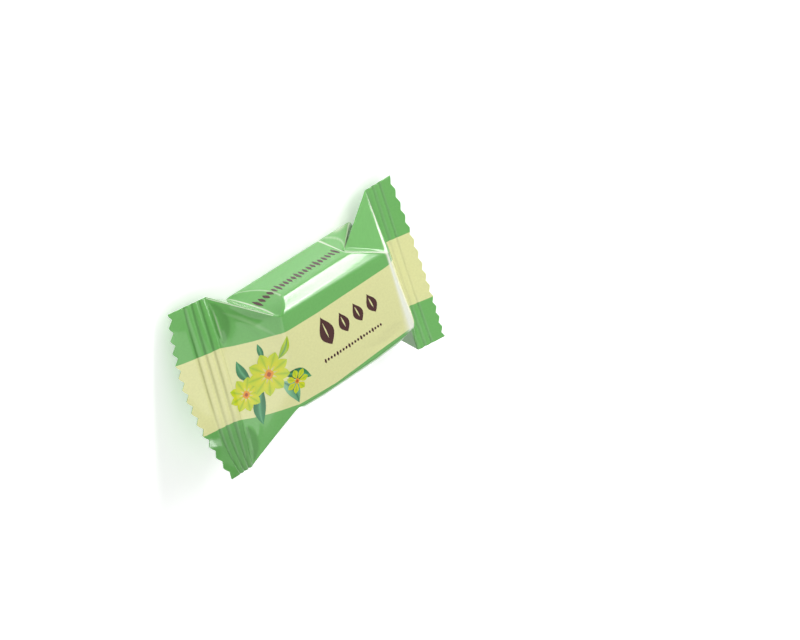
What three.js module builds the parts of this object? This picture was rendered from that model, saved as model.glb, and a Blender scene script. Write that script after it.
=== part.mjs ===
import * as THREE from "three";

// A nougat bar sealed in printed film: a flat tube of film drawn round the bar and crimped
// shut at both ends. All of it is one closed body. Sizes in mm, +Z up, the printed face up,
// lying on its back. "near" is the -Y side, "far" the +Y side; the "long" end (+X) keeps a
// long loose throat between bar and crimp, the "short" end (-X) folds down at once.

// the wrapped bar
const BAR_H = 13; // height over the flat top
const CROWN = 0.3; // rise of the film in the middle of the top
const TOP_ROUND = 2.7; // height taken by the rounded long edges
const FOOT_ROUND = 0.5; // radius where the sides meet the underside
const WALL_NEAR = -13.3; // the two side walls
const WALL_FAR = 12.6;
const FAR_BULGE = 0.75; // the far wall and edge bulge this much at mid length
const RIM_BOW = 0.5; // how far the short end rim bows out
const HALF_LEN = 16; // half the length of the flat top

// corners of the flat top, where the folds to the crimps start
const LONG_NEAR = [15.0, -10.6, BAR_H];
const LONG_FAR = [16.0, 10.5, BAR_H];
const SHORT_NEAR = [-15.0, -9.5, BAR_H];
const SHORT_FAR = [-16.4, 9.9, BAR_H];

// side folds: at the long end a ridge runs down the wall from the top corner to the foot,
// with a straight valley behind it; at the short end a fold crosses the rounded edge to the
// tuck point and drops down the wall, and below it a small ear of film stays on the wall
const RIDGE_NEAR = [15.0, 11.6, 18.1]; // x at the top, under the rounding, at the foot
const RIDGE_FAR = [16.0, 13.0, 17.8];
const RIDGE_CURVE = 4.5;
const VALLEY_TOP = 0.12; // how far the top and back have gone to the crimp at that valley
const EAR_START = [-6.5, -10.0]; // x of the fold on the near and far wall
const EAR_TIP = [-16.1, -16.6]; // x of the ear on the near and far foot
const EAR_BACK = [[-14.6, -9.9, 0.4], [-15.1, 9.8, 0.4]]; // the film behind the ears
const TUCK_AT = 0.4; // where the tuck point lies on the side
const SOFT_BEND = 0.8; // how far the top is eased over the bar's long end, 0 to 1

// crimped bands: inner line and outer line, each near / middle / far
const LONG_IN = [[24.6, -17.8, 3.4], [27.8, 0, 9.3], [29.2, 17.9, 10.7]];
const LONG_OUT = [[33.9, -18.7, 2.9], [37.5, -1.2, 6.4], [37.2, 14.8, 14.6]];
const SHORT_IN = [[-20.1, -19.0, 2.9], [-19.2, 0, 6.6], [-19.4, 18.3, 9.1]];
const SHORT_OUT = [[-26.8, -19.2, 3.3], [-26.9, 1.1, 7.3], [-26.7, 18.8, 9.6]];
const FILM_HALF = 0.2; // half the thickness of a crimped band
const RIB = 1.85; // pitch of the crimp ribs
const GROOVE = 0.34; // depth of the grooves between the ribs
const TEETH = 14; // cut teeth across the film
const LONG_TOOTH = 0.95; // depth of the teeth
const SHORT_TOOTH = 0.6;
const LONG_RIBS = 3;
const SHORT_RIBS = 2;

// the lap seam along the underside: free edge and the step in the film beside it
const SEAM_Y = 3.6;
const SEAM_STEP = 0.25;
const SEAM_HALF = 0.35;

const ACROSS = 2 * TEETH; // facets across the film
const SIDE = [0.08, 0.16, 0.24, 0.32, 0.4, 0.57, 0.77, 0.95, 0.98];
const ARC_END = 0.32; // share of a side taken by the rounded edge
const FOOT_AT = 0.95; // where the foot rounding starts

const lerp = (a, b, t) => a + (b - a) * t;
const mix = (p, q, t) => p.map((a, i) => lerp(a, q[i], t));
const curve = (c, q) => c[1].map((m, i) =>
  m + ((c[2][i] - c[0][i]) / 2) * q + ((c[0][i] + c[2][i]) / 2 - m) * q * q);
const slope = (c, q) => c[1].map((m, i) =>
  (c[2][i] - c[0][i]) / 2 + (c[0][i] + c[2][i] - 2 * m) * q);
const add = (p, v, k) => p.map((a, i) => a + v[i] * k);
const sub = (p, q) => p.map((a, i) => a - q[i]);
const gap = (p, q) => Math.hypot(...sub(p, q));
const unit = (v) => v.map((a) => a / Math.hypot(...v));
const cross = (a, b) => [a[1] * b[2] - a[2] * b[1], a[2] * b[0] - a[0] * b[2],
  a[0] * b[1] - a[1] * b[0]];

// The columns round the tube: top face, far side, underside, near side. q runs across the
// film from -1 (near) to 1 (far), v down a side from 0 to 1.
function columns() {
  const cols = [];
  for (let j = 0; j <= ACROSS; j++) cols.push({ zone: "top", j, q: (2 * j) / ACROSS - 1 });
  for (const v of SIDE) cols.push({ zone: "side", far: 1, v });
  for (let j = ACROSS; j >= 0; j--) cols.push({ zone: "base", j, q: (2 * j) / ACROSS - 1 });
  for (const v of [...SIDE].reverse()) cols.push({ zone: "side", far: 0, v });
  return cols;
}

// A point of the wrapped bar's own section at length x: flat crowned top, elliptic rounding
// on the long edges, straight wall, small foot rounding, flat underside with the seam step.
function section(x, col) {
  const nearTop = lerp(LONG_NEAR[1], SHORT_NEAR[1], (LONG_NEAR[0] - x) / 30);
  const bulge = FAR_BULGE * Math.max(0, 1 - (x / HALF_LEN) ** 2);
  const farTop = lerp(LONG_FAR[1], SHORT_FAR[1], (LONG_FAR[0] - x) / 32.4) + bulge;
  if (col.zone === "top") {
    return [x, lerp(nearTop, farTop, (col.q + 1) / 2), BAR_H + CROWN * (1 - col.q * col.q)];
  }
  if (col.zone === "base") return underside(x, col);
  const [edge, wall] = col.far ? [farTop, WALL_FAR + bulge] : [nearTop, WALL_NEAR];
  if (col.v <= ARC_END) {
    const a = ((col.v / ARC_END) * Math.PI) / 2;
    return [x, edge + (wall - edge) * Math.sin(a), BAR_H - TOP_ROUND * (1 - Math.cos(a))];
  }
  if (col.v <= FOOT_AT) {
    const t = (col.v - ARC_END) / (FOOT_AT - ARC_END);
    return [x, wall, lerp(BAR_H - TOP_ROUND, FOOT_ROUND, t)];
  }
  const a = (((col.v - FOOT_AT) / (1 - FOOT_AT)) * Math.PI) / 2;
  const inward = col.far ? -1 : 1;
  return [x, wall + inward * FOOT_ROUND * (1 - Math.cos(a)), FOOT_ROUND * (1 - Math.sin(a))];
}

// The underside is flat; three columns stand together at the seam's free edge and the
// middle one is lifted to form the step.
function underside(x, col, step = SEAM_STEP) {
  const near = WALL_NEAR + FOOT_ROUND;
  const far = WALL_FAR + FAR_BULGE * Math.max(0, 1 - (x / HALF_LEN) ** 2) - FOOT_ROUND;
  const seam = Math.round(((SEAM_Y - near) / (WALL_FAR - near)) * ACROSS);
  let y;
  if (col.j < seam) y = lerp(near, SEAM_Y - SEAM_HALF, col.j / (seam - 1));
  else if (col.j === seam) y = SEAM_Y;
  else y = lerp(SEAM_Y + SEAM_HALF, far, (col.j - seam - 1) / (ACROSS - seam - 1));
  return [x, y, col.j === seam ? step : 0];
}

// Where the throat of the long end leaves the bar: the edge of the top, a ridge down each
// wall and the end of the underside.
function longFold(col) {
  if (col.zone === "top") return section(lerp(LONG_NEAR[0], LONG_FAR[0], (col.q + 1) / 2), col);
  if (col.zone === "base") {
    return underside(lerp(RIDGE_NEAR[2], RIDGE_FAR[2], col.j / ACROSS), col, 0);
  }
  const ridge = col.far ? RIDGE_FAR : RIDGE_NEAR;
  const x = col.v < ARC_END ? lerp(ridge[0], ridge[1], col.v / ARC_END)
    : lerp(ridge[1], ridge[2], ((col.v - ARC_END) / (1 - ARC_END)) ** RIDGE_CURVE);
  return section(x, col);
}

// The crease behind that ridge: on each side straight from the top corner to the foot.
function longValley(col) {
  if (col.zone !== "side") return mix(longFold(col), crimp("long", 0, col), VALLEY_TOP);
  const [corner, ridge] = col.far ? [LONG_FAR, RIDGE_FAR] : [LONG_NEAR, RIDGE_NEAR];
  return mix(corner, underside(ridge[2], { j: col.far ? ACROSS : 0 }, 0), col.v);
}

// Where the short end leaves the bar: the bowed rim of the top, and on each side out along
// the rounded edge by the sine of its turn, then straight down the wall.
function shortFold(col) {
  if (col.zone === "top") {
    const bow = RIM_BOW * (1 - col.q ** 2);
    return section(lerp(SHORT_NEAR[0], SHORT_FAR[0], (col.q + 1) / 2) - bow, col);
  }
  if (col.zone === "base") return underside(lerp(...EAR_START, col.j / ACROSS), col);
  const a = (Math.min(1, col.v / ARC_END) * Math.PI) / 2;
  const corner = col.far ? SHORT_FAR[0] : SHORT_NEAR[0];
  return section(lerp(corner, EAR_START[col.far], Math.sin(a)), col);
}

// A line a share of the way from the short fold to the crimp, but with each side below the
// tuck point swung out to the given end.
function earLine(share, col, ends) {
  const line = (c) => mix(shortFold(c), crimp("short", 0, c), share);
  if (col.zone !== "side" || col.v <= TUCK_AT) return line(col);
  return mix(line({ ...col, v: TUCK_AT }), ends[col.far], (col.v - TUCK_AT) / (1 - TUCK_AT));
}

// The free edge of the ears: straight from the tuck point to the ear's tip at the foot.
function earFold(col) {
  if (col.zone === "base") return underside(lerp(...EAR_TIP, col.j / ACROSS), col, 0);
  const tips = [0, 1].map((far) => underside(EAR_TIP[far], { j: far ? ACROSS : 0 }));
  return earLine(0.08, col, tips);
}

// Behind the ears the foot comes back in, so that each ear stands off as a thin fold.
function backFold(col) {
  if (col.zone === "base") return mix(...EAR_BACK, col.j / ACROSS);
  return earLine(0.16, col, EAR_BACK);
}

// A crimped band, s mm out from its inner line. Both layers lie together and share the
// grooves; the film edge at each side is half a circle.
function crimp(end, s, col) {
  const [inner, outer] = end === "long" ? [LONG_IN, LONG_OUT] : [SHORT_IN, SHORT_OUT];
  const q = col.q ?? (col.far ? 1 : -1);
  const p0 = curve(inner, q);
  const out = unit(sub(curve(outer, q), p0));
  let n = unit(cross(slope(inner, q), out));
  if (end === "long") n = n.map((a) => -a);
  const p = add(add(p0, out, s), n, -GROOVE * groove(end, s));
  if (col.zone === "top") return add(p, n, FILM_HALF);
  if (col.zone === "base") return add(p, n, -FILM_HALF);
  const along = unit(slope(inner, q)).map((a) => (col.far ? a : -a));
  const a = Math.PI * col.v;
  return add(add(p, along, FILM_HALF * Math.sin(a)), n, FILM_HALF * Math.cos(a));
}

// Depth of the crimp pattern: narrow grooves at every rib pitch, broad ribs between, and a
// plain margin beyond the last groove.
function groove(end, s) {
  const last = RIB * (end === "long" ? LONG_RIBS : SHORT_RIBS);
  if (s >= last + RIB / 2) return 0;
  return 1 - Math.abs(Math.sin((Math.PI * s) / RIB));
}

// Distance from inner line to cut edge: the teeth follow the facets, one tip and one notch
// for every two of them.
function depth(end, col) {
  const [inner, outer] = end === "long" ? [LONG_IN, LONG_OUT] : [SHORT_IN, SHORT_OUT];
  const q = col.q ?? (col.far ? 1 : -1);
  const full = Math.hypot(...sub(curve(outer, q), curve(inner, q)));
  const tooth = end === "long" ? LONG_TOOTH : SHORT_TOOTH;
  return full - (col.j % 2 ? tooth : 0);
}

// The rows of one crimped band as [s, share of the way to the cut edge].
function crimpRows(end) {
  const ribs = end === "long" ? LONG_RIBS : SHORT_RIBS;
  const rows = [];
  for (let r = 0; r < ribs; r++) {
    for (const t of r ? [0, 0.18, 0.5, 0.82] : [0.18, 0.5, 0.82]) rows.push([(r + t) * RIB, 0]);
  }
  rows.push([ribs * RIB, 0], [(ribs + 0.2) * RIB, 0], [(ribs + 0.5) * RIB, 0]);
  for (const t of [0.35, 0.7, 1]) rows.push([(ribs + 0.5) * RIB, t]);
  return rows;
}

// All rows of the tube from the long end's cut edge to the short end's.
function surface() {
  const cols = columns();
  const rows = [];
  const push = (fn) => rows.push(cols.map(fn));
  for (const [s, t] of crimpRows("long").reverse()) {
    push((c) => crimp("long", lerp(s, depth("long", c), t), c));
  }
  const bodyLong = (c) => section(9, c);
  const bodyShort = (c) => section(-3, c);
  const steps = [
    [(c) => crimp("long", 0, c), longValley, 7],
    [longValley, longFold, 2],
    [longFold, bodyLong, 3],
    [bodyLong, bodyShort, 5],
    [bodyShort, shortFold, 5],
    [shortFold, earFold, 3],
    [earFold, backFold, 2],
    [backFold, (c) => crimp("short", 0, c), 6],
  ];
  const fold = rows.length + steps[0][2] + steps[1][2];
  for (const [from, to, count] of steps) {
    for (let k = 0; k < count; k++) push((c) => mix(from(c), to(c), k / count));
  }
  push((c) => crimp("short", 0, c));
  for (const [s, t] of crimpRows("short")) {
    push((c) => crimp("short", lerp(s, depth("short", c), t), c));
  }
  soften(rows, cols, fold);
  return { cols, rows };
}

// The film bends softly over the bar's long end: rows of the top there are drawn towards
// the mean of their neighbours, less so near the corners.
function soften(rows, cols, fold) {
  for (let pass = 0; pass < 3; pass++) {
    const before = rows.map((row) => [...row]);
    for (let r = fold - 2; r <= fold + 2; r++) {
      cols.forEach((c, i) => {
        if (c.zone !== "top") return;
        const mean = mix(before[r - 1][i], before[r + 1][i], 0.5);
        rows[r][i] = mix(before[r][i], mean, SOFT_BEND * (1 - c.q ** 4));
      });
    }
  }
}

// Quads between rows, each cut along its shorter diagonal, and at each cut edge a strip
// between the two layers with a fan at either side; the origin is put at the middle of the
// footprint.
function body() {
  const { cols, rows } = surface();
  const n = cols.length;
  const flat = rows.flat();
  const box = new THREE.Box3().setFromPoints(flat.map((p) => new THREE.Vector3(...p)));
  const mid = box.getCenter(new THREE.Vector3());
  const positions = flat.flatMap((p) => [p[0] - mid.x, p[1] - mid.y, p[2] - box.min.z]);
  const index = [];
  for (let r = 0; r + 1 < rows.length; r++) {
    for (let c = 0; c < n; c++) {
      const a = r * n + c;
      const b = r * n + ((c + 1) % n);
      const short = gap(flat[b], flat[a + n]) < gap(flat[a], flat[b + n]);
      if (short) index.push(a, b, a + n, b, b + n, a + n);
      else index.push(a, b, b + n, a, b + n, a + n);
    }
  }
  const top = (j) => j;
  const base = (j) => ACROSS + 1 + SIDE.length + ACROSS - j;
  const cap = (row, turn) => {
    const put = (a, b, c) => (turn ? index.push(row + a, row + c, row + b)
      : index.push(row + a, row + b, row + c));
    for (let j = 0; j < ACROSS; j++) {
      put(top(j), base(j), top(j + 1));
      put(base(j), base(j + 1), top(j + 1));
    }
    for (let k = 0; k < SIDE.length; k++) {
      put(top(ACROSS), base(ACROSS) - k, base(ACROSS) - k - 1);
      put(top(0), base(0) + k + 1, base(0) + k);
    }
  };
  cap(0, false);
  cap((rows.length - 1) * n, true);
  const geometry = new THREE.BufferGeometry();
  geometry.setAttribute("position", new THREE.Float32BufferAttribute(positions, 3));
  if (volume(positions, index) < 0) index.reverse();
  geometry.setIndex(index);
  geometry.computeVertexNormals();
  return geometry;
}

function volume(p, index) {
  let six = 0;
  for (let i = 0; i < index.length; i += 3) {
    const [a, b, c] = [0, 1, 2].map((k) => p.slice(3 * index[i + k], 3 * index[i + k] + 3));
    const n = cross(b, c);
    six += a[0] * n[0] + a[1] * n[1] + a[2] * n[2];
  }
  return six / 6;
}

const film = new THREE.MeshStandardMaterial({ color: 0x7cc06f, roughness: 0.3, metalness: 0 });
const wrapper = new THREE.Mesh(body(), film);
wrapper.name = "wrapper";
const group = new THREE.Group();
group.name = "nougat_candy";
group.add(wrapper);

export default group;
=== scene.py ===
import bpy
import numpy as np
from mathutils import Matrix


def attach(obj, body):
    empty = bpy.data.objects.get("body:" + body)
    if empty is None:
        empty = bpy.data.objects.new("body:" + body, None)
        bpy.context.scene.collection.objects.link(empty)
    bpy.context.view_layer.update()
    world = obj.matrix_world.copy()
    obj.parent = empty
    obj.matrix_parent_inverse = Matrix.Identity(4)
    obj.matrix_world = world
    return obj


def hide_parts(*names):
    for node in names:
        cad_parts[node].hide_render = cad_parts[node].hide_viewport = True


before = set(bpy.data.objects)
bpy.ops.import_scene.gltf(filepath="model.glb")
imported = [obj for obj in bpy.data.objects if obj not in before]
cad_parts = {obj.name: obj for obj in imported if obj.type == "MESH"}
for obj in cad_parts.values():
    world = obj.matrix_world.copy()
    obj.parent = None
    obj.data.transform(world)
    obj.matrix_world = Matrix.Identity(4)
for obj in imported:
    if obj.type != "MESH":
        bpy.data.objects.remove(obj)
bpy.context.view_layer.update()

# ---------------------------------------------------------------------------------------
# 1. The bar under its film. A nougat bar 30 mm long and 13 mm high lies inside; printed
# polypropylene film is drawn round it from a roll, so the film shows a flat crowned top,
# soft long edges, straight side walls and a flat back. Sizes in mm, +Z up, printed face up.

MM = 0.001
ORIGIN = np.array([5.4758, -0.2002, 0.0])  # middle of the footprint, seen from the bar's middle

BAR_H = 13.0
CROWN = 0.3  # rise of the top from its long edges to its middle
TOP_ROUND = 2.7  # height of each rounded long edge
EDGE_POWER = 1.33
FOOT_ROUND = 0.5
WALL_NEAR, WALL_FAR = -13.3, 12.6
FAR_BULGE = 0.75
HALF_LEN = 16.0
LONG_NEAR, LONG_FAR = (15.0, -10.6), (16.0, 10.5)  # corners of the flat top at the long end
SHORT_NEAR, SHORT_FAR = (-15.0, -9.5), (-16.4, 9.9)  # and at the short end
ARC_END = 0.32  # share of a side taken by the rounded long edge
FOOT_AT = 0.95  # where the foot rounding starts
SEAM_Q = 0.25  # the lap seam's free edge across the back, from -1 near side to 1 far side
TEETH = 14  # along each cut edge
PER_TOOTH = 8  # columns of the mesh to each tooth
SIDE_STEPS = 40


def lerp(a, b, t):
    """Straight blend from a to b: a plus t times the difference."""
    return a + (b - a) * t


def film_columns():
    """The columns round the tube of film, from the lap seam over the near side, the top and
    the far side back to the seam: zone (0 top, 1 back, 2 near side, 3 far side), q across the
    film from -1 near to 1 far, v down a side from 0 to 1."""
    across = np.linspace(-1, 1, TEETH * PER_TOOTH + 1)
    seam = int(round((SEAM_Q + 1) / 2 * TEETH * PER_TOOTH))
    down = np.linspace(0, 1, SIDE_STEPS + 1)[1:-1]
    runs = [
        (1, across[seam::-1], 1 + 0 * across[seam::-1]),
        (2, -1 + 0 * down, down[::-1]),
        (0, across, 0 * across),
        (3, 1 + 0 * down, down),
        (1, across[:seam - 1:-1], 1 + 0 * across[:seam - 1:-1]),
    ]
    zone = np.concatenate([np.full(len(q), z) for z, q, v in runs])
    return zone, np.concatenate([q for z, q, v in runs]), np.concatenate([v for z, q, v in runs])


zone, q, v = film_columns()
far = (q + 1) / 2
is_top, is_back, is_near, is_far = (zone == k for k in range(4))


def points(x, y, z):
    """Three coordinates, each a number or one value per column, as rows of points."""
    return np.stack(np.broadcast_arrays(x, y, z, np.zeros(len(q))), -1)[:, :3]


def by_zone(top, back, near, far_side):
    """Takes each column's point from the array that belongs to its zone."""
    return np.select([is_top[:, None], is_back[:, None], is_near[:, None]], [top, back, near], far_side)


def bulge(x):
    """How far the far wall stands out at x: a parabola over the bar's length."""
    return FAR_BULGE * np.clip(1 - (x / HALF_LEN) ** 2, 0, None)


def section(x):
    """The wrapped bar's section at length x: a flat crowned top, a quarter superellipse of
    power 2 / EDGE_POWER on each long edge, a straight wall, a quarter circle at the foot and
    a flat back."""
    near_top = lerp(LONG_NEAR[1], SHORT_NEAR[1], (LONG_NEAR[0] - x) / (LONG_NEAR[0] - SHORT_NEAR[0]))
    far_top = lerp(LONG_FAR[1], SHORT_FAR[1], (LONG_FAR[0] - x) / (LONG_FAR[0] - SHORT_FAR[0])) + bulge(x)
    wall_far = WALL_FAR + bulge(x)
    top = points(x, lerp(near_top, far_top, far), BAR_H + CROWN * (1 - q * q))
    back = points(x, lerp(WALL_NEAR + FOOT_ROUND, wall_far - FOOT_ROUND, far), 0.0)
    turn = np.clip(v / ARC_END, 0, 1) * np.pi / 2
    out = np.sin(turn) ** EDGE_POWER
    sunk = 1 - np.clip(np.cos(turn), 0, 1) ** EDGE_POWER
    down = np.clip((v - ARC_END) / (FOOT_AT - ARC_END), 0, 1)
    foot_turn = np.clip((v - FOOT_AT) / (1 - FOOT_AT), 0, 1) * np.pi / 2
    z = np.where(v <= ARC_END, BAR_H - TOP_ROUND * sunk,
                 lerp(BAR_H - TOP_ROUND, FOOT_ROUND, down) - FOOT_ROUND * np.sin(foot_turn))
    near_y = near_top + (WALL_NEAR - near_top) * out + FOOT_ROUND * (1 - np.cos(foot_turn))
    far_y = far_top + (wall_far - far_top) * out - FOOT_ROUND * (1 - np.cos(foot_turn))
    return by_zone(top, back, points(x, near_y, z), points(x, far_y, z))


# ---------------------------------------------------------------------------------------
# 2. The crimped bands. Heated jaws press both layers of film together into ribs at each end
# and a zigzag knife parts one sweet from the next, leaving fourteen teeth and a plain margin.

LONG_IN = ((24.6, -17.8, 3.4), (27.8, 0.0, 9.3), (29.2, 17.9, 10.7))  # near edge, middle, far edge
LONG_OUT = ((33.9, -18.7, 2.9), (37.5, -1.2, 6.4), (37.2, 14.8, 14.6))
SHORT_IN = ((-20.1, -19.0, 2.9), (-19.2, 0.0, 6.6), (-19.4, 18.3, 9.1))
SHORT_OUT = ((-26.8, -19.2, 3.3), (-26.9, 1.1, 7.3), (-26.7, 18.8, 9.6))
FILM_HALF = 0.13  # half the thickness of a band
RIB = 1.85  # from one pressed line to the next
RIB_LINE = 0.30  # half width of the groove between two ribs
RIB_CROWN = 0.10  # height of a rib's crown
LONG_CUT = dict(ribs=3, groove=0.26, tooth=0.95, notch=0.46, round_side=1.7)
SHORT_CUT = dict(ribs=2, groove=0.22, tooth=0.60, notch=0.50, round_side=1.2)


def curve(line, t):
    """The parabola through three points at t = -1, 0 and 1."""
    a, b, c = (np.array(p) for p in line)
    return b + (c - a) / 2 * t[:, None] + ((a + c) / 2 - b) * t[:, None] ** 2


def slope(line, t):
    """The direction of that parabola."""
    a, b, c = (np.array(p) for p in line)
    return (c - a) / 2 + (a + c - 2 * b) * t[:, None]


def unit(p):
    """Each vector divided by its length."""
    return p / np.linalg.norm(p, axis=-1, keepdims=True)


def from_pressed_line(s, cut):
    """How far a place s mm out on a band lies from the nearest groove line, which is at a whole number of
    ribs from the band's inner line."""
    return np.abs(s - RIB * np.clip(np.round(s / RIB), 0, cut["ribs"]))


def crimp(inner, outer, s, cut):
    """A row of a crimped band, s mm out from its inner line. Each groove line sinks by a bell curve of the
    distance to it, and the ribs between are slightly crowned; beyond the last line the margin is plain. The
    two layers lie half a thickness either side, joined by half circles."""
    start = curve(inner, q)
    out = unit(curve(outer, q) - start)
    along = unit(slope(inner, q))
    face = unit(np.cross(along, out))
    face *= np.sign(face[:, 2:])
    s = np.broadcast_to(s, q.shape)
    crown = np.where(s < cut["ribs"] * RIB, RIB_CROWN * (1 - np.abs(np.sin(np.pi * s / RIB))), 0)
    sink = (cut["groove"] - RIB_CROWN) * np.exp(-(from_pressed_line(s, cut) / RIB_LINE) ** 2) + crown
    middle = start + out * s[:, None] - face * sink[:, None]
    outward = along * np.sign(q)[:, None]
    turn = np.pi * v[:, None]
    edge = outward * np.sin(turn) + face * np.cos(turn)
    return middle + FILM_HALF * by_zone(face, -face, edge, edge)


def cut_line(inner, outer, cut):
    """How far out the knife cuts at each column: the band's depth less a tooth that falls
    from its tip by a power of the distance, rounding one flank, and rises straight again."""
    full = np.linalg.norm(curve(outer, q) - curve(inner, q), axis=1)
    phase = ((q + 1) / 2 * TEETH) % 1.0
    fall = np.clip(phase / cut["notch"], 0, 1) ** cut["round_side"]
    rise = np.clip((1 - phase) / (1 - cut["notch"]), 0, 1)
    return full - cut["tooth"] * np.where(phase < cut["notch"], fall, rise)


def crimp_rows(inner, outer, cut, rib_rows, margin_rows):
    """All rows of one band: evenly spaced from its inner line to half a rib past the last groove line, and
    then blended out to the knife's cut."""
    flat = (cut["ribs"] + 0.5) * RIB
    edge = cut_line(inner, outer, cut)
    ribs = [crimp(inner, outer, flat * k / rib_rows, cut) for k in range(1, rib_rows + 1)]
    margin = [crimp(inner, outer, lerp(flat, edge, k / margin_rows), cut)
              for k in range(1, margin_rows + 1)]
    return np.stack(ribs + margin)


# ---------------------------------------------------------------------------------------
# 3. The folds between bar and bands. At the long end a loose throat slopes to the band and
# its sides fold in over a ridge; at the short end the film dives off the bar's rim, each
# side is tucked in to a valley and a small ear of film stands off at the foot.

RIDGE_NEAR = (15.0, 11.6, 18.1)  # x at the top, below the rounded edge, and at the back
RIDGE_FAR = (16.0, 13.0, 17.8)
RIDGE_CURVE = 3.0
VALLEY_SHARE = 0.12  # how far from the ridge to the band the crease behind it lies
BAR_END_X = 9.0  # up to here the film lies close on the bar
BAR_MIDDLE_X = (-3.0, -6.0)  # near and far side
RIM_BOW = -0.35  # how far the short end's rim bows out in its middle
RIM_OUT, RIM_DOWN = 0.83, 0.17  # shares of its slant taken by the turn outwards and downwards
TUCK_AT = 0.40  # share of a side where the tuck lies
EAR_START = (-6.5, -10.0)  # x where the short fold meets the foot, near and far side
EAR_TIP = (-17.0, -16.6)  # x of the ears' tips at the foot
EAR_OUT = 0.6  # how far the near ear's tip stands out from the foot
EAR_BACK = ((-14.6, -9.9, 0.4), (-15.1, 9.8, 0.4))  # where the film behind the ears ends
EAR_LEAN, BEHIND_LEAN = np.array([-1.1, 0, 0.3]), np.array([-1.2, 0, 0])
NEAR_LEAN = 0.45  # share of that lean at the near side
PULL_NEAR, PULL_FAR = np.array([-0.51, 0.51, -0.70]), np.array([-0.2, -2.4, -0.9])  # into the tuck
ROWS_BETWEEN = (42, 10, 14, 26, 28, 12, 8, 34)  # rows of the mesh from key line to key line


def foot(x, far_side):
    """The point on the back's near or far edge at length x."""
    y = WALL_FAR + bulge(x) - FOOT_ROUND if far_side else WALL_NEAR + FOOT_ROUND
    return np.array([x, y, 0.0])


def long_fold():
    """The line where the throat leaves the bar: the end of the flat top, then on each side a
    ridge whose x runs straight down the rounded edge and then by a power of the height."""
    def ridge(r):
        low = np.clip((v - ARC_END) / (1 - ARC_END), 0, 1) ** RIDGE_CURVE
        return np.where(v < ARC_END, lerp(r[0], r[1], v / ARC_END), lerp(r[1], r[2], low))
    top = lerp(LONG_NEAR[0], LONG_FAR[0], far)
    back = lerp(RIDGE_NEAR[2], RIDGE_FAR[2], far)
    return section(np.select([is_top, is_back, is_near], [top, back, ridge(RIDGE_NEAR)], ridge(RIDGE_FAR)))


def long_valley():
    """The crease behind that ridge: on each side straight from the top corner to the foot,
    and elsewhere a small share of the way from the ridge to the band."""
    line = lerp(long_fold(), crimp(LONG_IN, LONG_OUT, 0.0, LONG_CUT), VALLEY_SHARE)
    near = lerp(np.array((*LONG_NEAR, BAR_H)), foot(RIDGE_NEAR[2], False), v[:, None])
    far_side = lerp(np.array((*LONG_FAR, BAR_H)), foot(RIDGE_FAR[2], True), v[:, None])
    return by_zone(line, line, near, far_side)


def short_fold():
    """The line where the film leaves the bar at the short end: the bowed rim, and on each
    side out along the rounded edge, moving along the bar as the film turns, then straight
    down the wall."""
    turn = np.clip(v / ARC_END, 0, 1) * np.pi / 2
    share = RIM_OUT * np.sin(turn) ** EDGE_POWER
    share = share + RIM_DOWN * (1 - np.clip(np.cos(turn), 0, 1) ** EDGE_POWER)
    back = lerp(*EAR_START, far)
    top = lerp(SHORT_NEAR[0], SHORT_FAR[0], far) - RIM_BOW * (1 - q * q)
    near = lerp(SHORT_NEAR[0], EAR_START[0], share)
    far_side = lerp(SHORT_FAR[0], EAR_START[1], share)
    return section(np.select([is_back, is_top, is_near], [back, top, near], far_side))


def ear_line(top_share, side_share, lean, pull, back, ends):
    """A line part of the way from the short fold to the band, furthest in the middle of the
    top, where the film also stands off by the given lean, more towards the far side. Each
    side runs from the top to a tuck point, pulled in behind the fold, and then straight out
    to a given end; the line on the back is given."""
    band = crimp(SHORT_IN, SHORT_OUT, 0.0, SHORT_CUT)
    line = lerp(short_fold(), band, lerp(top_share, side_share, q ** 4)[:, None])
    line = line + (lerp(NEAR_LEAN, 1.0, far) * (1 - q ** 6))[:, None] * lean
    tucked = lerp(short_fold(), band, side_share)
    into = np.sin(np.clip(v / TUCK_AT, 0, 1) * np.pi / 2)[:, None]
    down = np.clip((v - TUCK_AT) / (1 - TUCK_AT), 0, 1)[:, None]
    sides = []
    for side, edge, end, way in zip((is_near, is_far), (-1, 1), ends, (PULL_NEAR, PULL_FAR)):
        top = line[is_top & (q == edge)][0]
        tuck = tucked[side & (np.abs(v - TUCK_AT) < 1e-9)][0] + pull * way
        sides.append(np.where((v > TUCK_AT)[:, None], lerp(tuck, np.array(end), down), lerp(top, tuck, into)))
    return by_zone(line, back, *sides)


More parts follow.
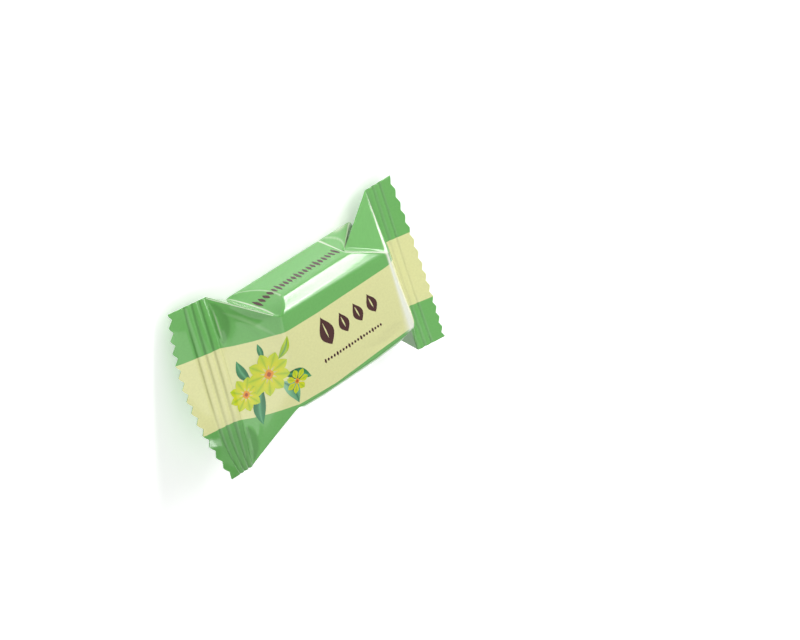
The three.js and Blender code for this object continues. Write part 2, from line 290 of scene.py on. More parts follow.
def film_surface():
    """All rows of the tube, from the long end's cut edge to the short end's: straight blends
    between the key lines. With them, the row at which each key line lies."""
    long_band = crimp_rows(LONG_IN, LONG_OUT, LONG_CUT, rib_rows=46, margin_rows=16)[::-1]
    short_band = crimp_rows(SHORT_IN, SHORT_OUT, SHORT_CUT, rib_rows=34, margin_rows=14)
    ear_ends = (foot(EAR_TIP[0], False) - [0, EAR_OUT, 0], foot(EAR_TIP[1], True))
    ear = ear_line(top_share=0.3, side_share=0.01, lean=EAR_LEAN, pull=1.6,
                   back=section(lerp(*EAR_TIP, far)), ends=ear_ends)
    behind_back = lerp(np.array(EAR_BACK[0]), np.array(EAR_BACK[1]), far[:, None])
    behind = ear_line(top_share=0.5, side_share=0.06, lean=BEHIND_LEAN, pull=2.2,
                      back=behind_back, ends=EAR_BACK)
    lines = [
        crimp(LONG_IN, LONG_OUT, 0.0, LONG_CUT),
        long_valley(),
        long_fold(),
        section(BAR_END_X),
        section(lerp(*BAR_MIDDLE_X, far)),
        short_fold(),
        ear,
        behind,
        crimp(SHORT_IN, SHORT_OUT, 0.0, SHORT_CUT),
    ]
    spans = [lerp(line, after, (np.arange(n) / n)[:, None, None])
             for line, after, n in zip(lines, lines[1:], ROWS_BETWEEN)]
    key_rows = len(long_band) + np.cumsum([0, *ROWS_BETWEEN])
    return np.concatenate([long_band, *spans, lines[-1][None], short_band]), key_rows.tolist()


grid, key_rows = film_surface()
(at_long_band, at_valley, at_ridge, at_bar_end, at_bar_middle,
 at_rim, at_ear, at_behind, at_short_band) = key_rows


# ---------------------------------------------------------------------------------------
# 4. Film lying loose. Thin film never bends at a knife edge: every fold is eased, the top
# rolls softly over the bar's long end, and pulls, hollows and fine creases run from the
# corners. Places on the film are in mm: a along it from the bar's middle towards the long
# end, b across it from the middle of the top, positive on the far side.

LAP_Q, LAP_STEP = 0.45, 0.15  # width of the lap as a share of half the back, and its height
CREASE_PASSES = 3  # rounds of easing that take the edge off the fine creases

# Start and end on the film, bow, height, and how wide it falls off to either side.
CREASES = (
    ((28.2, -18.0), (28.3, -8.9), 0.3, 0.45, 0.4, 1.4),  # pucker beside the long band, near end
    ((28.2, 8.9), (28.2, 17.4), 0.2, 0.45, 0.4, 1.9),  # and far end
    ((28.1, -18.2), (18.9, -6.5), 0.5, 0.16, 1.2, 1.0),  # soft fold down the throat
    ((27.0, -17.4), (17.5, -10.8), -1.0, -0.25, 1.5, 1.5),  # hollow under the throat's near edge
    ((19.5, -6.8), (18.7, -3.0), 0.0, 0.06, 0.5, 0.5),  # fine creases in the throat
    ((25.2, 9.5), (26.3, 13.8), 0.2, 0.10, 0.5, 0.5),
    ((-16.9, -28.2), (-16.2, -21.2), 0.2, 0.10, 0.5, 0.5),  # across the near ear
    ((-1.5, 7.0), (-12.5, 8.2), -1.2, -0.14, 1.2, 1.2),  # shallow dents in the top, far edge
    ((-3.0, 5.5), (-7.5, 8.3), 0.6, 0.05, 0.5, 0.7),
)


def around(line, reach):
    """A weight for each row: the exponential of minus the fourth power of its distance from
    a key line, with the reach in rows as the unit."""
    return np.exp(-(((row - line) / reach) ** 4))


def eased(surface, passes, along, across):
    """Each pass moves a point towards the mean of its two neighbours along the tube, then
    round it, by the given weights; round the tube the columns close on themselves."""
    for _ in range(passes):
        mean = (surface[:-2] + surface[2:]) / 2
        surface[1:-1] += along[1:-1, :, None] * (mean - surface[1:-1])
        ring = surface[:, :-1]
        mean = (np.roll(ring, 1, 1) + np.roll(ring, -1, 1)) / 2
        ring += across[:, :-1, None] * (mean - ring)
        surface[:, -1] = surface[:, 0]
    return surface


def film_places(surface):
    """Film coordinates by arc length: a is the distance along the middle of the top, b the
    distance round each row, counted so that it equals y in the middle of the top."""
    middle = int(np.flatnonzero(is_top & (np.abs(q) < 1e-9))[0])
    step = np.linalg.norm(np.diff(surface[:, middle], axis=0), axis=1)
    run = np.concatenate([[0], np.cumsum(step)])
    a = np.interp(0, -surface[:, middle, 0], run) - run
    round_step = np.linalg.norm(np.diff(surface, axis=1), axis=2)
    b = np.concatenate([np.zeros((len(surface), 1)), np.cumsum(round_step, axis=1)], axis=1)
    return a[:, None] + 0 * b, b - b[:, middle:middle + 1] + surface[:, middle, 1:2]


def outward_normals(surface):
    """The unit normal at every point, from the differences along the tube and round it."""
    along = np.gradient(surface, axis=0)
    padded = np.concatenate([surface[:, -2:-1], surface, surface[:, 1:2]], axis=1)
    return unit(np.cross(padded[:, 2:] - padded[:, :-2], along) + 1e-12)


def crease(start, end, bow, height, near_width, far_width):
    """How high a fine fold stands everywhere on the film. It follows an arc between two
    places, bowed by so many mm to its left, and falls evenly to nothing at both sides; height
    and widths shrink by the root of a sine towards the arc's ends."""
    chord = np.subtract(end, start)
    length = np.hypot(*chord)
    run = ((film_a - start[0]) * chord[0] + (film_b - start[1]) * chord[1]) / length ** 2
    off = ((film_b - start[1]) * chord[0] - (film_a - start[0]) * chord[1]) / length
    off = off - 4 * bow * run * (1 - run)
    swell = np.sqrt(np.sin(np.pi * np.clip(run, 0, 1)))
    width = np.where(off > 0, far_width, near_width) * swell + 1e-6
    return height * swell * np.clip(1 - np.abs(off) / width, 0, 1)


row = np.arange(len(grid))[:, None]
loose = ((row > at_long_band) & (row < at_short_band)) * np.ones(len(q))
for line, reach, passes, where in (
        (at_ridge, 16.0, 60, is_top * (1 - q * q) ** 2),  # the soft roll over the long end
        (at_valley, 3.0, 8, ~is_top),  # the crease behind the ridge, almost sharp
        (at_rim, 6.0, 34, is_top)):  # the rim of the short end
    grid = eased(grid, passes, 0.5 * loose * around(line, reach) * where, 0 * loose)

# The back lies on its lap seam, so over the bar the rest of it stands up by the seam's step.
over_bar = np.clip(1 - np.abs((row - at_bar_middle) / (at_rim - at_bar_end)), 0, 1)
lap = is_back & (q <= SEAM_Q) & (q > SEAM_Q - LAP_Q)
grid[:, :, 2] += LAP_STEP * (is_back & ~lap) * np.sqrt(over_bar)

film_a, film_b = film_places(grid)
relief = loose * sum(crease(*one) for one in CREASES)
grid = grid + outward_normals(grid) * relief[:, :, None]
grid = eased(grid, CREASE_PASSES, 0.5 * loose, 0.5 * loose)

# ---------------------------------------------------------------------------------------
# 5. Painted light and shade on the print. Painted shade darkens the ink along the crimps' groove lines, over
#    the long band's far end, in soft hollows and in the pockets beside the bands; painted highlights pale the
#    sharp folds to a near-white line and lighten the shadowed inside of the near tuck.

GROOVE_SHADE_HALF = 0.26  # half width of the painted shade along the groove between two ribs
LONG_GROOVE_SHADE, SHORT_GROOVE_SHADE = 0.62, 0.31  # how dark that painted shade is, on the long and the short band
FAR_END_SHADE, FAR_END_SHADE_FROM, FAR_END_SHADE_OVER = 0.45, 0.62, 0.15  # painted shade over the long band's far end as a whole
DEEPEST_SHADE = 0.5  # the most that painted shade darkens a soft hollow
POCKET_SHADE, POCKET_END = 0.9, 0.6  # painted shade in the tucked pocket at the short end's far side, and how far down
RIM_HIGHLIGHT_BEFORE = (2.0, 7.0)  # rows that the painted highlight along the rim reaches up the top, near and far end
RIM_HIGHLIGHT_BEHIND = (1.5, 9.0)  # and down behind it
RIM_HIGHLIGHT_POWER, RIM_HIGHLIGHT_START = 1.5, 1.8  # how it fades upwards, and its level at the rim before the cap
# Painted highlight on the near ear's tip: its row past the rim, its reach in rows, its place down the side
# and its reach there. A painted highlight along the ear's own fine fold: its row there, and its slant.
TIP_ROW, TIP_ROWS, TIP_V, TIP_REACH, TIP_HIGHLIGHT = 8, 2.2, 0.95, 0.07, 0.8
EAR_FOLD_ROW, EAR_FOLD_SLANT, EAR_FOLD_HIGHLIGHT = 2, 18, 0.35

# Painted shade in soft hollows and pockets, laid out as CREASES, with the strength in place of the height.
SHADED = (
    ((28.0, -17.8), (28.0, -9.0), 0.5, 1.6, 0.05, 2.6),  # pockets beside the long band
    ((28.0, 9.0), (28.0, 17.3), 0.2, 1.6, 0.05, 2.1),
    ((27.0, -16.8), (16.5, -11.3), -1.0, 0.352, 2.2, 1.8),  # hollow under the throat's near edge
    ((-5.5, 7.5), (-14.0, 7.2), 0.6, 0.192, 1.4, 1.4),  # dent in the top by the far edge
)
# Painted highlights along fine creases, laid out as CREASES.
PAINTED_CREASE_HIGHLIGHTS = (
    ((26.3, -15.0), (17.0, -6.6), 0.4, 0.14, 0.5, 0.7),  # down the throat
    ((28.2, -17.8), (28.1, -9.4), 0.3, 0.35, 0.25, 0.25),  # on the pucker beside the long band
)

film_a, film_b = film_places(grid)
painted_shade = np.zeros(grid.shape[:2])
for band, start_row, sign, inner, outer, cut, groove_shade in (
        (slice(0, at_long_band), at_long_band, 1, LONG_IN, LONG_OUT, LONG_CUT, LONG_GROOVE_SHADE),
        (slice(at_short_band + 1, None), at_short_band, -1, SHORT_IN, SHORT_OUT, SHORT_CUT, SHORT_GROOVE_SHADE)):
    s = np.sum((grid[band] - curve(inner, q)) * unit(curve(outer, q) - curve(inner, q)), axis=-1)
    film_a[band] = film_a[start_row, 0] + sign * s
    film_b[band] = film_b[start_row]
    # Painted shade along each groove line of the crimps.
    painted_shade[band] = groove_shade * np.exp(-(from_pressed_line(np.abs(s), cut) / GROOVE_SHADE_HALF) ** 2)
# Painted shade: the long band darker towards its far end.
far_end_darkening = FAR_END_SHADE * np.clip((far - FAR_END_SHADE_FROM) / FAR_END_SHADE_OVER, 0, 1)
painted_shade[:at_long_band] = 1 - (1 - painted_shade[:at_long_band]) * (1 - far_end_darkening)
for one in SHADED:
    painted_shade = np.maximum(painted_shade, (row > at_long_band) * np.clip(crease(*one), 0, DEEPEST_SHADE))
# Painted shade in the tucked pocket under the short end's far side.
painted_shade[at_rim + 1:at_short_band, is_far & (v < POCKET_END)] = POCKET_SHADE
painted_shade *= ~is_back

# Painted highlight along the short end's rim, fading up the top and down behind it.
past_rim = row - at_rim
before = np.clip(1 + past_rim / lerp(*RIM_HIGHLIGHT_BEFORE, far ** 2), 0, 1) ** RIM_HIGHLIGHT_POWER
behind_rim = np.clip(RIM_HIGHLIGHT_START - past_rim / lerp(*RIM_HIGHLIGHT_BEHIND, far ** 2), 0, 1)
painted_highlight = is_top * np.where(past_rim < 0, before, behind_rim)
corner_column = int(np.flatnonzero(is_top)[0])
# Painted highlights on the sharp folds, and painted light in the shadowed near tuck: rows, columns, strength.
PAINTED_HIGHLIGHT_LINES = (
    (at_rim, is_near & (v <= TUCK_AT), 1.0),  # the near end of the short fold
    (at_rim, is_near & (v > TUCK_AT), 0.9),
    (at_ear, is_near & (v > TUCK_AT), 0.8),  # the near ear
    (at_valley, is_near & (v > 0.1), 0.8),  # the valley beside the throat
    (at_ridge, is_near & (v > ARC_END), 0.35),
    (slice(at_long_band, at_valley), corner_column, 0.9),  # the throat's near edge
    (slice(at_rim, at_short_band), corner_column, 1.0),  # the fold from the rim to the short band
    (slice(at_rim, at_ear), is_far & (v < 0.12), 0.8),
    (slice(at_rim, at_ear + 1), is_near & (v < TUCK_AT - 0.04), 0.9),
    (slice(at_ear + 1, at_behind + 16), is_near & (v > TUCK_AT), 0.5),  # painted light inside the shadowed near tuck
)
for line, columns_worn, strength in PAINTED_HIGHLIGHT_LINES:
    painted_highlight[line, columns_worn] = strength
# Painted highlights on the near ear's tip and along its fine fold.
tip_glint = np.exp(-((past_rim - TIP_ROW) / TIP_ROWS) ** 2 - ((v - TIP_V) / TIP_REACH) ** 2)
off_fold = np.abs(past_rim - (EAR_FOLD_ROW + EAR_FOLD_SLANT * (TIP_V - v)))
ear_fold_glint = np.clip(1 - off_fold, 0, 1) * (v > TUCK_AT + 0.05) * (v < TIP_V)
painted_highlight = np.maximum(painted_highlight, is_near * np.maximum(TIP_HIGHLIGHT * tip_glint, EAR_FOLD_HIGHLIGHT * ear_fold_glint))
for one in PAINTED_CREASE_HIGHLIGHTS:
    painted_highlight = np.maximum(painted_highlight, (row > at_long_band) * (row < at_ridge) * crease(*one))

# ---------------------------------------------------------------------------------------
# 6. The closed pack as one mesh: the tube's rows joined by four-sided faces, each cut edge closed by a strip
#    from the upper layer to the lower one. The film's places, pulled a little askew as on a real machine, go
#    with it as a UV map, and its painted shade and painted highlights by point.

PRINT_DRIFT = (  # a, and the b where the stripe's middle lies there
    (-25, 0.45), (-15, 1.3), (-4, 1.55), (6, 1.9), (15, 1.5),
    (22, 0.7), (26, 0.0), (29, -0.7), (33, -0.35), (37, 0.0))
PRINT_HALF = (  # a, and half the stripe's width there
    (-25, 7.7), (-15, 8.35), (6, 8.7), (15, 8.5), (22, 8.1), (31, 7.7), (37, 7.9))
STRIPE_HALF = 8.2  # half the stripe's width as printed, before the film was drawn askew
SHARP_FOLD = 55  # degrees; a fold sharper than this is shaded as an edge
UV_SHIFT, UV_SPAN = (40, 50), 100  # in mm, so that all film places lie inside the UV square


def half_way_down(side):
    """The column in the middle of a side, where v is one half."""
    return int(np.flatnonzero(side & (np.abs(v - 0.5) < 1e-9))[0])


def to_uv(places):
    """Film places in mm, shifted and scaled to lie between 0 and 1."""
    return ((places + UV_SHIFT) / UV_SPAN).astype(np.float32).ravel()


rows, columns = grid.shape[0], grid.shape[1] - 1
drift = np.interp(film_a, *zip(*PRINT_DRIFT))
half = np.interp(film_a, *zip(*PRINT_HALF))
print_places = np.stack([film_a, (film_b - drift) * STRIPE_HALF / half], -1)

r, c = np.meshgrid(np.arange(rows - 1), np.arange(columns), indexing="ij")
near_mid, far_mid = half_way_down(is_near), half_way_down(is_far)
step = np.arange(columns // 2)
strip = np.stack([near_mid + step, (near_mid - step) % columns,
                  (near_mid - step - 1) % columns, near_mid + step + 1], 1)
face_row = np.concatenate([r.reshape(-1, 1) + [0, 0, 1, 1], 0 * strip, 0 * strip + rows - 1])
face_column = np.concatenate([c.reshape(-1, 1) + [0, 1, 1, 0], strip, strip[:, ::-1]])
faces = (face_row * columns + face_column % columns).tolist()
# At both ends of a strip two corners fall on one point, so the second is left out.
kept = [[k for k in range(4) if face[k] not in face[:k]] for face in faces]
loops = np.array([4 * i + k for i, corners in enumerate(kept) for k in corners])

mesh = bpy.data.meshes.new("film_wrapper")
mesh.from_pydata(((grid[:, :-1] - ORIGIN) * MM).reshape(-1, 3).tolist(), [],
                 [[face[k] for k in corners] for face, corners in zip(faces, kept)])
uv = mesh.uv_layers.new(name="film")
uv.data.foreach_set("uv", to_uv(print_places[face_row.ravel()[loops], face_column.ravel()[loops]]))
# The painted highlights and the painted shade, by point.
for name, values in (("painted_highlight_map", painted_highlight), ("painted_shade_map", painted_shade)):
    attribute = mesh.attributes.new(name, "FLOAT", "POINT")
    attribute.data.foreach_set("value", values[:, :-1].astype(np.float32).ravel())
mesh.polygons.foreach_set("use_smooth", np.ones(len(mesh.polygons), bool))
mesh.set_sharp_from_angle(angle=np.radians(SHARP_FOLD))
film_wrapper = bpy.data.objects.new("film_wrapper", mesh)
bpy.context.scene.collection.objects.link(film_wrapper)

# ---------------------------------------------------------------------------------------
# 7. The printed film: biaxially oriented polypropylene, reverse printed, so that the ink lies
# under a clear face. The ground is green with a cream stripe along the top.

# The last colour is the near-white of the painted highlights on the folds.
GREEN, CREAM, HIGHLIGHT_TINT = "#6eb75f", "#e4e5a4", "#f2f5e4"
STRIPE_EDGE = 0.04  # mm, half the width over which one ink gives way to the other
DARKEST_GREEN, DARKEST_CREAM = 0.45, 0.72  # share of the ink's colour left where the painted shade is deepest
MOTTLES_PER_MM, WAVES_PER_MM = 2.0, 0.22
WAVE_HEIGHT = 0.02 * MM
NOISE_LOW, NOISE_HIGH = 0.3, 0.7  # where most of a noise texture's values lie
MOTTLE_LOW, MOTTLE_HIGH = 0.97, 1.03
SMOOTHEST, ROUGHEST = 0.12, 0.18
COAT, COAT_ROUGHNESS = 0.7, 0.06


def linear(hex_colour):
    """An sRGB hex value as linear red, green, blue and alpha."""
    s = np.array([int(hex_colour[i:i + 2], 16) for i in (1, 3, 5)]) / 255
    return (*np.where(s <= 0.04045, s / 12.92, ((s + 0.055) / 1.055) ** 2.4), 1.0)


def add_node(tree, kind, inputs=None, **settings):
    """One node with its settings; each input is a plain value or another node's output."""
    made = tree.nodes.new(kind)
    for name, value in settings.items():
        setattr(made, name, value)
    for socket, value in (inputs or {}).items():
        if isinstance(value, bpy.types.NodeSocket):
            tree.links.new(value, made.inputs[socket])
        else:
            made.inputs[socket].default_value = value
    return made


def film_material(name, colour_of):
    """Ink under glossy film. The ink's colour comes from a function of the tree and of the
    film places in mm, times a fine noise; a slow noise lifts the film and roughens it."""
    material = bpy.data.materials.new(name)
    material.use_nodes = True
    tree = material.node_tree
    tree.nodes.clear()
    places = add_node(tree, "ShaderNodeUVMap", uv_map="film").outputs[0]
    places = add_node(tree, "ShaderNodeMapping", {
        "Vector": places, "Location": (-UV_SHIFT[0], -UV_SHIFT[1], 0), "Scale": (UV_SPAN,) * 3}).outputs[0]
    mottle = add_node(tree, "ShaderNodeTexNoise", {
        "Vector": places, "Scale": MOTTLES_PER_MM, "Detail": 3.0}).outputs[0]
    mottle = add_node(tree, "ShaderNodeMapRange", {
        0: mottle, 1: NOISE_LOW, 2: NOISE_HIGH, 3: MOTTLE_LOW, 4: MOTTLE_HIGH}).outputs[0]
    ink = add_node(tree, "ShaderNodeVectorMath", {
        0: colour_of(tree, places), 1: mottle}, operation="MULTIPLY").outputs[0]
    waves = add_node(tree, "ShaderNodeTexNoise", {
        "Vector": places, "Scale": WAVES_PER_MM, "Detail": 2.0}).outputs[0]
    rubbed = add_node(tree, "ShaderNodeMapRange", {
        0: waves, 1: NOISE_LOW, 2: NOISE_HIGH, 3: SMOOTHEST, 4: ROUGHEST}).outputs[0]
    normal = add_node(tree, "ShaderNodeBump", {
        "Height": waves, "Distance": WAVE_HEIGHT, "Strength": 1.0}).outputs[0]
    gloss = add_node(tree, "ShaderNodeBsdfPrincipled", {
        "Base Color": ink, "Roughness": rubbed, "Normal": normal,
        "Coat Weight": COAT, "Coat Roughness": COAT_ROUGHNESS, "Coat Normal": normal}).outputs[0]
    add_node(tree, "ShaderNodeOutputMaterial", {0: gloss})
    return material


def ground_print(tree, places):
    """Green with a cream stripe where b is small, darkened by the painted shade that the mesh carries by
    point, and blended towards near-white by the painted highlights that it carries by point."""
    across = add_node(tree, "ShaderNodeSeparateXYZ", {0: places}).outputs[1]
    aside = add_node(tree, "ShaderNodeMath", {0: across}, operation="ABSOLUTE").outputs[0]
    stripe = add_node(tree, "ShaderNodeMapRange", {
        0: aside, 1: STRIPE_HALF + STRIPE_EDGE, 2: STRIPE_HALF - STRIPE_EDGE}).outputs[0]
    base = add_node(tree, "ShaderNodeMix", {
        0: stripe, 6: linear(GREEN), 7: linear(CREAM)}, data_type="RGBA").outputs[2]
    # Painted shade, read from the mesh.
    painted_shade = add_node(tree, "ShaderNodeAttribute", attribute_name="painted_shade_map").outputs["Fac"]
    deepest = add_node(tree, "ShaderNodeMapRange", {
        0: stripe, 3: DARKEST_GREEN, 4: DARKEST_CREAM}).outputs[0]
    shade = add_node(tree, "ShaderNodeMapRange", {0: painted_shade, 3: 1.0, 4: deepest}).outputs[0]
    base = add_node(tree, "ShaderNodeVectorMath", {0: base, 1: shade}, operation="MULTIPLY").outputs[0]
    # Painted highlights on the folds, read from the mesh.
    highlight_level = add_node(tree, "ShaderNodeAttribute", attribute_name="painted_highlight_map").outputs["Fac"]
    return add_node(tree, "ShaderNodeMix", {
        0: highlight_level, 6: base, 7: linear(HIGHLIGHT_TINT)}, data_type="RGBA").outputs[2]


# To the eye: hard, bright reflections on a smooth clear face, over ink that is a little
# uneven at half a millimetre, with a slow ripple of the film every few millimetres.
mesh.materials.append(film_material("glossy_printed_polypropylene_film", ground_print))

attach(film_wrapper, "root")
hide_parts("wrapper")

# ---------------------------------------------------------------------------------------
# 8. Printed motifs, in film places: round yellow-green rosettes with leaves on the long half
# of the top, a row of almonds over a beaded line on the short half, and a row of small
# lozenges along each wall. Each colour lies a hair above the one below it.

INK_LIFT, LAYER_LIFT = 0.02, 0.012  # above the ground print, and from one layer to the next
PATCH_POINTS = (13, 7)  # along and across the spine of one patch of ink
BLUNT_END = 0.01  # half width of a patch at its two ends
PETAL, PETAL_TIP, PETAL_VEIN = "#e6dc00", "#c0d600", "#93bd00"
HEART, HEART_DARK = "#ea9a18", "#b24f1c"
LEAF, LEAF_TIP, LEAF_VEIN = "#0a5c34", "#1d8a4c", "#62b47c"
PALE_LEAF, PALE_TIP = "#8cc79c", "#5fa878"
COCOA = "#47140f"
DARK_LEAF = (LEAF, LEAF_TIP, LEAF_VEIN)  # inks at the foot, at the tip and along the spine
LIGHT_LEAF = (PALE_LEAF, PALE_TIP, LEAF)
ALMONDS = ((5.4, -1.9, 7.2), (0.5, -1.4, 5.2), (-3.6, -1.6, 5.0), (-7.5, -1.6, 5.0))  # a, b, length
ALMOND_LEAN, BEAD_LEAN = 98, 96  # degrees from the film's length
BEADS, FIRST_BEAD, BEAD_PITCH, BEAD_LINE = 20, 7.4, 0.8, 4.35  # how many, first a, pitch, b
BEAD_LONG, BEAD_SHORT, BEAD_WIDTH = 1.25, 0.8, 0.5  # every fourth bead is long
LOZENGES, FIRST_LOZENGE, LOZENGE_PITCH = 21, 15.4, 1.05  # how many, first x, pitch along x
LOZENGE_LONG, LOZENGE_SHORT, LOZENGE_HALF = 3.0, 2.1, 0.35  # every fifth is long; half width
film_out = outward_normals(grid)


def on_film(a, b, lift):
    """Where film places lie in space, raised by lift mm: the row is found by a, the column by
    b in the two rows beside it, and the point is a straight blend of the four corners."""
    raised = grid + film_out * lift
    at_row = np.interp(-a.ravel(), -film_a[:, 0], np.arange(rows))
    row_before = at_row.astype(int)
    beside = []
    for k in (row_before, row_before + 1):
        at = np.clip(np.sum(film_b[k] <= b.reshape(-1, 1), axis=1) - 1, 0, columns - 1)
        share = (b.ravel() - film_b[k, at]) / (film_b[k, at + 1] - film_b[k, at])
        beside.append(lerp(raised[k, at], raised[k, at + 1], share[:, None]))
    return lerp(*beside, (at_row - row_before)[:, None])


def blade(start, angle, length, width, inks, layer, bow=0.0, widest=0.5):
    """A leaf-shaped patch of ink: a spine of the given length from start, bowed to its left,
    with a half width that is a sine of the run, warped so that it is widest where asked.
    The ink blends from foot to tip, with another ink along the spine."""
    along, across = PATCH_POINTS
    u, w = np.meshgrid(np.linspace(0, 1, along), np.linspace(-1, 1, across), indexing="ij")
    half_width = width / 2 * np.sin(np.pi * u ** (np.log(0.5) / np.log(widest))) + BLUNT_END
    x, y = length * u, 4 * bow * u * (1 - u) + half_width * w
    turn = np.radians(angle)
    a = start[0] + x * np.cos(turn) - y * np.sin(turn)
    b = start[1] + x * np.sin(turn) + y * np.cos(turn)
    foot_ink, tip_ink, spine_ink = (np.array(linear(ink)) for ink in inks)
    spine = ((1 - np.abs(w)) ** 4 * 0.8)[..., None]
    return a, b, layer, lerp(lerp(foot_ink, tip_ink, u[..., None]), spine_ink, spine)


def rosette(centre, radius, petals, layer, first_angle):
    """A round flower, sized by shares of its radius: a ring of petals, every second one half
    a layer higher, and a two-colour heart."""
    shapes = []
    for k in range(petals):
        angle = first_angle + 360 * k / petals
        outwards = np.array([np.cos(np.radians(angle)), np.sin(np.radians(angle))])
        shapes.append(blade(centre + radius * 0.12 * outwards, angle, radius * 0.88, radius * 0.5,
                            (PETAL, PETAL_TIP, PETAL_VEIN), layer + 0.5 * (k % 2), widest=0.62))
    for size, ink, up in ((0.46, HEART, 1.0), (0.22, HEART_DARK, 1.5)):
        shapes.append(blade((centre[0] - radius * size / 2, centre[1]), 0, radius * size, radius * size,
                            (ink, ink, ink), layer + up))
    return shapes


def printed(name, shapes):
    """One piece from many patches of ink, each a grid of four-sided faces, coloured by point."""
    spots = np.concatenate([on_film(a, b, INK_LIFT + LAYER_LIFT * layer) for a, b, layer, ink in shapes])
    places = np.concatenate([np.stack([a.ravel(), b.ravel()], -1) for a, b, layer, ink in shapes])
    inks = np.concatenate([ink.reshape(-1, 4) for a, b, layer, ink in shapes])
    along, across = PATCH_POINTS
    first = np.arange(along - 1)[:, None] * across + np.arange(across - 1)
    patch_faces = np.stack([first, first + across, first + across + 1, first + 1], -1).reshape(-1, 4)
    quads = (along * across * np.arange(len(shapes))[:, None, None] + patch_faces).reshape(-1, 4)
    patch = bpy.data.meshes.new(name)
    patch.from_pydata(((spots - ORIGIN) * MM).tolist(), [], quads.tolist())
    colours = patch.color_attributes.new("ink", "FLOAT_COLOR", "POINT")
    colours.data.foreach_set("color", inks.astype(np.float32).ravel())
    patch.uv_layers.new(name="film").data.foreach_set("uv", to_uv(places[quads.ravel()]))
    patch.polygons.foreach_set("use_smooth", np.ones(len(patch.polygons), bool))
    patch.materials.append(ink_material)
    piece = bpy.data.objects.new(name, patch)
    bpy.context.scene.collection.objects.link(piece)
    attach(piece, "root")


def motif_print(tree, places):
    """The colour that each printed motif carries at its points."""
    return add_node(tree, "ShaderNodeAttribute", attribute_name="ink").outputs["Color"]


# To the eye: the same clear gloss as the ground's, so that the motifs lie under the film.
ink_material = film_material("motif_inks_under_glossy_film", motif_print)

printed("rosette_print", [
    blade((22.5, 2.5), 78, 8.0, 2.8, DARK_LEAF, 0, bow=-0.8),
    blade((18.5, 3.0), 118, 7.4, 3.0, LIGHT_LEAF, 0, bow=0.7),
    blade((17.5, 2.0), 150, 7.0, 2.4, DARK_LEAF, 0.5, bow=0.6),
    blade((24.5, 0.5), -70, 5.6, 2.0, DARK_LEAF, 0, bow=0.5),
    blade((18.0, -2.0), -128, 5.2, 1.8, (PETAL_VEIN, PETAL_TIP, LEAF_TIP), 0, bow=-0.5),
    blade((21.0, -3.0), -84, 3.6, 1.2, DARK_LEAF, 0),
    *rosette((26.2, 2.6), 3.7, 9, 1, 10),
    *rosette((20.6, 0.4), 4.7, 9, 3, 0),
    *rosette((14.9, 4.6), 2.7, 7, 1, 20),
])

almonds = []
for a, b, length in ALMONDS:
    almonds.append(blade((a + 0.35, b - length / 2), ALMOND_LEAN, length, length * 0.52,
                         (COCOA, COCOA, COCOA), 0, widest=0.56))
    almonds.append(blade((a + 0.25, b - length * 0.3), ALMOND_LEAN, length * 0.55, 0.32,
                         (CREAM, CREAM, CREAM), 1))
for k in range(BEADS):
    size = BEAD_LONG if k % 4 == 0 else BEAD_SHORT
    almonds.append(blade((FIRST_BEAD - BEAD_PITCH * k, BEAD_LINE - size / 2), BEAD_LEAN, size,
                         BEAD_WIDTH, (COCOA, COCOA, COCOA), 0))
printed("almond_print", almonds)

lozenges = []
bar_rows = slice(at_long_band, at_rim)
for column in (near_mid, far_mid):
    wall_x, wall_a, wall_b = grid[bar_rows, column, 0], film_a[bar_rows, 0], film_b[bar_rows, column]
    for k in range(LOZENGES):
        x = FIRST_LOZENGE - LOZENGE_PITCH * k
        size = LOZENGE_LONG if k % 5 == 0 else LOZENGE_SHORT
        before, a, after = np.interp([-x - LOZENGE_HALF, -x, -x + LOZENGE_HALF], -wall_x, wall_a)
        b = np.interp(-x, -wall_x, wall_b)
        lozenges.append(blade((a, b - size / 2), 90, size, before - after, (COCOA, COCOA, COCOA), 0))
printed("lozenge_print", lozenges)

# ---------------------------------------------------------------------------------------
# 9. The studio: a white sweep under the sweet, a long softbox behind it on the near side with
# dimmer strips beside it, wide soft fills round it, pale surroundings, and the camera.

camera_data = bpy.data.cameras.new("camera")
camera_data.sensor_width = 36.0
camera_data.lens = 111.06
camera_data.clip_start, camera_data.clip_end = 0.01, 20
camera = bpy.data.objects.new("camera", camera_data)
bpy.context.scene.collection.objects.link(camera)
bpy.context.scene.camera = camera
# Its axes and its place come from a perspective fit of the bar's corners and fold lines.
right = np.array([-0.71641, 0.19980, 0.66846])
up = np.array([-0.47713, -0.83935, -0.26048])
back = np.array([0.50903, -0.50555, 0.69664])
stand = np.array([243.930, -254.727, 372.956]) * MM
camera.matrix_world = Matrix([[right[k], up[k], back[k], stand[k]] for k in range(3)] + [[0, 0, 0, 1]])

floor_mesh = bpy.data.meshes.new("white_sweep")
floor_mesh.from_pydata([(-4, -4, 0), (4, -4, 0), (4, 4, 0), (-4, 4, 0)], [], [(0, 1, 2, 3)])
white_sweep = bpy.data.objects.new("white_sweep", floor_mesh)
bpy.context.scene.collection.objects.link(white_sweep)
# To the eye: matt paper so brightly lit that only the contact shadow shows on it.
paper = bpy.data.materials.new("white_paper")
paper.use_nodes = True
paper_shader = paper.node_tree.nodes["Principled BSDF"].inputs
paper_shader["Base Color"].default_value = (0.92, 0.92, 0.92, 1)
paper_shader["Roughness"].default_value = 0.8
paper_shader["Emission Color"].default_value = (1, 1, 1, 1)
paper_shader["Emission Strength"].default_value = 0.34
floor_mesh.materials.append(paper)


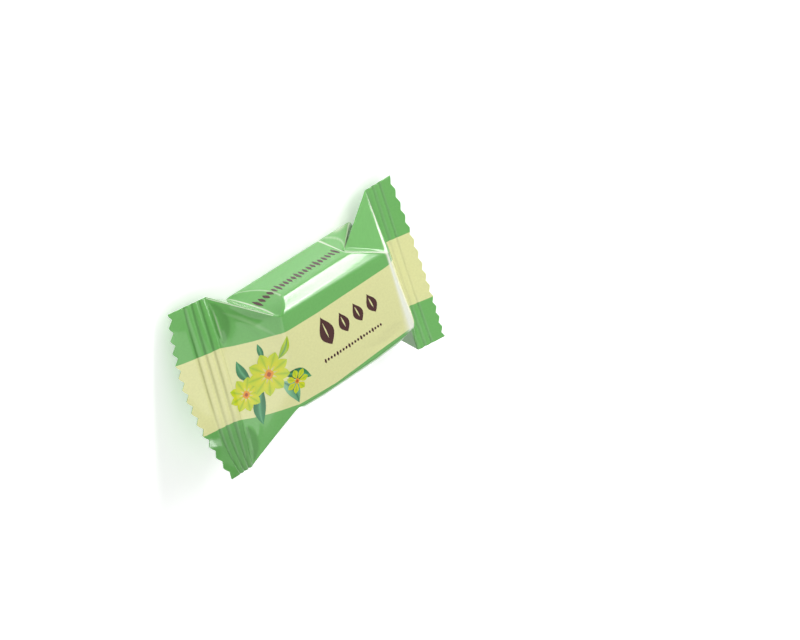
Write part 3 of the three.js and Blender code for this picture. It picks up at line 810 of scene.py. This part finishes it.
def soft_panel(name, towards, long_way, distance, length, width, radiance, lights=True, mirrored=True):
    """A rectangular light facing the sweet from a direction, its length laid along another;
    its power is radiance times pi times its area. It lights the film, is mirrored in it, or
    both. Sizes in m."""
    data = bpy.data.lights.new(name, "AREA")
    data.shape = "RECTANGLE"
    data.size, data.size_y = length, width
    data.energy = radiance * np.pi * length * width
    panel = bpy.data.objects.new(name, data)
    panel.visible_camera = False
    panel.visible_diffuse, panel.visible_glossy = lights, mirrored
    bpy.context.scene.collection.objects.link(panel)
    towards = unit(np.array(towards))
    side = unit(np.array(long_way) - np.dot(long_way, towards) * towards)
    over = np.cross(towards, side)
    panel.matrix_world = Matrix([[side[k], over[k], towards[k], towards[k] * distance] for k in range(3)]
                                + [[0, 0, 0, 1]])


# Name, direction from the sweet, direction of the length, distance, length, width, radiance.
soft_panel("softbox", (-0.508, -0.669, 0.487), (0, 0.59, 0.81), 0.6, 0.70, 0.07, 12.5)
soft_panel("softbox_fringe", (-0.49, -0.27, 0.83), (0, 0.95, 0.31), 0.6, 0.15, 0.09, 5.0)
soft_panel("softbox_far_fringe", (-0.49, -0.12, 0.86), (0, 0.99, 0.12), 0.6, 0.12, 0.09, 2.0)
soft_panel("side_fill", (-0.25, -0.88, 0.33), (1, 0, 0), 0.8, 1.2, 0.45, 0.83)
soft_panel("overhead_fill", (0.3, 0.1, 0.95), (1, 0, 0), 0.9, 1.4, 1.2, 0.38, mirrored=False)
soft_panel("near_overhead", (-0.30, -0.10, 0.95), (1, 0, 0), 0.2, 0.16, 0.12, 0.25, mirrored=False)
soft_panel("front_top", (0.6, 0.3, 0.74), (0, 1, 0), 0.9, 1.8, 1.4, 0.6, mirrored=False)
soft_panel("face_sheen", (-0.55, 0.5, 0.67), (1, 0, 0), 0.9, 1.4, 1.2, 0.36)
soft_panel("throat_sheen", (0.38, 0.30, 0.88), (1, 0, 0), 0.9, 1.0, 0.9, 1.1, lights=False)

world = bpy.data.worlds.new("white_surroundings")
bpy.context.scene.world = world
world.use_nodes = True
world.node_tree.nodes["Background"].inputs[0].default_value = (1, 1, 1, 1)
world.node_tree.nodes["Background"].inputs[1].default_value = 0.1
bpy.context.scene.view_settings.view_transform = "Standard"
